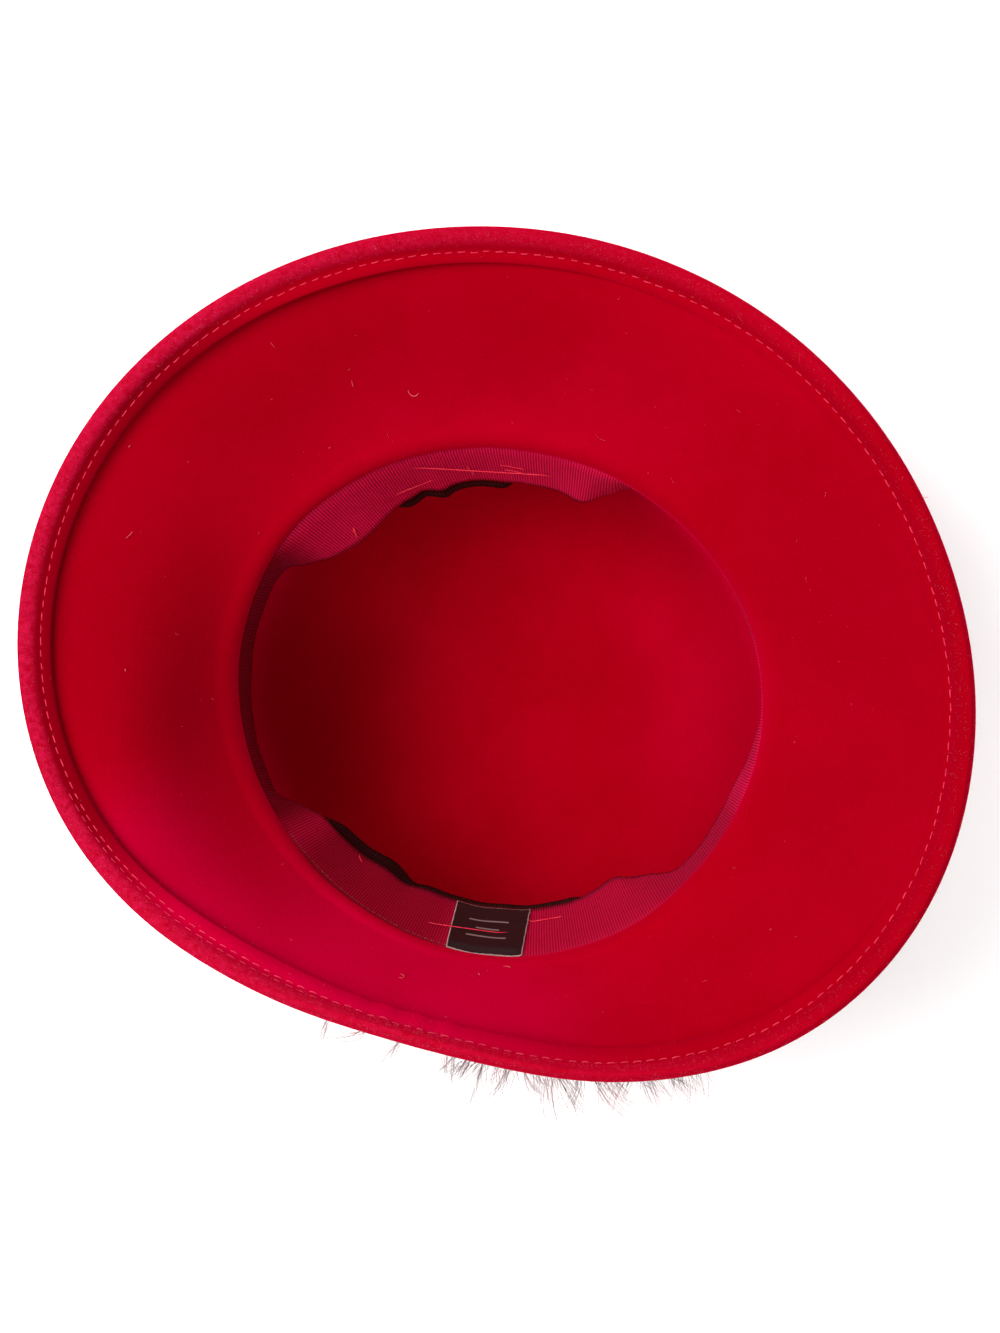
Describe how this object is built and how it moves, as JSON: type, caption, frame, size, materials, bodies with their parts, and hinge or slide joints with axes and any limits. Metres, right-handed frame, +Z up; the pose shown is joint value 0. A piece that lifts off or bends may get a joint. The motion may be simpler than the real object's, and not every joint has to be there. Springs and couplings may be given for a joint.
{
  "type": "cloche hat",
  "caption": "Felt cloche hat with a flared asymmetric brim, turned hem, ribbed sweatband and feather spray, resting on its crown.",
  "frame": {"origin": "middle of the flat of the crown's tip, which the hat rests on", "axes": "+Z up out of the head opening, +Y to the front of the hat, +X to the wearer's left"},
  "size_m": [0.3178, 0.2957, 0.171],
  "materials": {
    "felt": "matt red wool felt with a short nap",
    "band_ribbon": "crimson ribbed ribbon with a slight sheen",
    "black_tape": "black ribbed tape",
    "label_satin": "black woven satin",
    "feather": "soft dark grey feather barbs"
  },
  "bodies": {
    "root": {"felt_body": "felt", "sweatband": "band_ribbon", "size_tape": "black_tape", "label": "label_satin", "feather_spray": "feather"}
  },
  "joints": []
}
